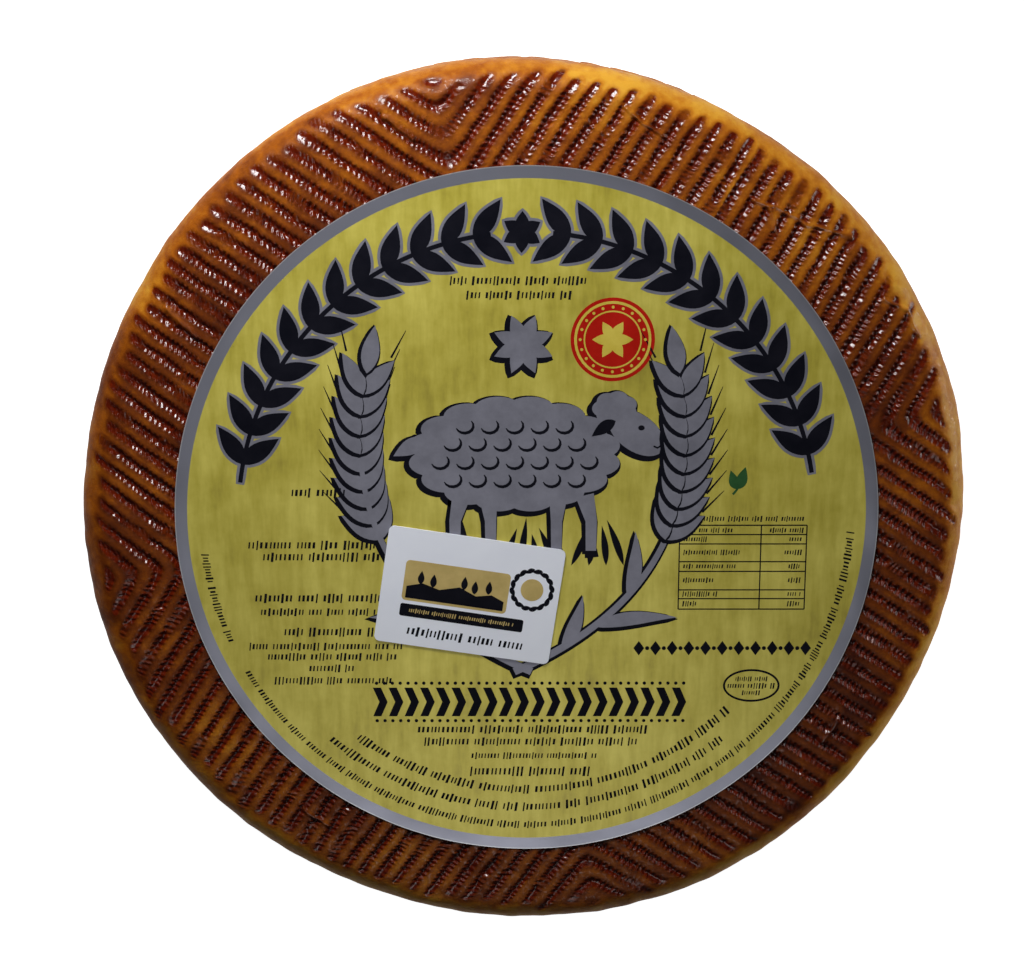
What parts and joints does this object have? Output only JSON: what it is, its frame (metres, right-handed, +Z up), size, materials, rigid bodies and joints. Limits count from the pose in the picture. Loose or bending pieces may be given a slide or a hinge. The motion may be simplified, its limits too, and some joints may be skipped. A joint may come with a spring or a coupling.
{
  "type": "semi-cured sheep cheese wheel",
  "caption": "Round wheel of semi-cured sheep cheese: grooved, glossy coated rind with a zigzag side, a large round gold label on top and a small white tag.",
  "frame": {"origin": "middle of the wheel's underside, on the surface it lies on", "axes": "+Z up through the wheel's turning axis, +Y towards the top edge of the label, +X to the label's right"},
  "size_m": [0.2038, 0.2038, 0.0936],
  "materials": {
    "coated_rind": "brown ochre cheese rind under a clear glossy coat, darker in the grooves",
    "gold_paper": "metallised gold label paper with a silver-grey rim and dark print, satin",
    "white_tag": "smooth white plate with a small coloured print"
  },
  "bodies": {
    "root": {"cheese_wheel": "coated_rind", "round_label": "gold_paper", "seal_tag": "white_tag"}
  },
  "joints": []
}
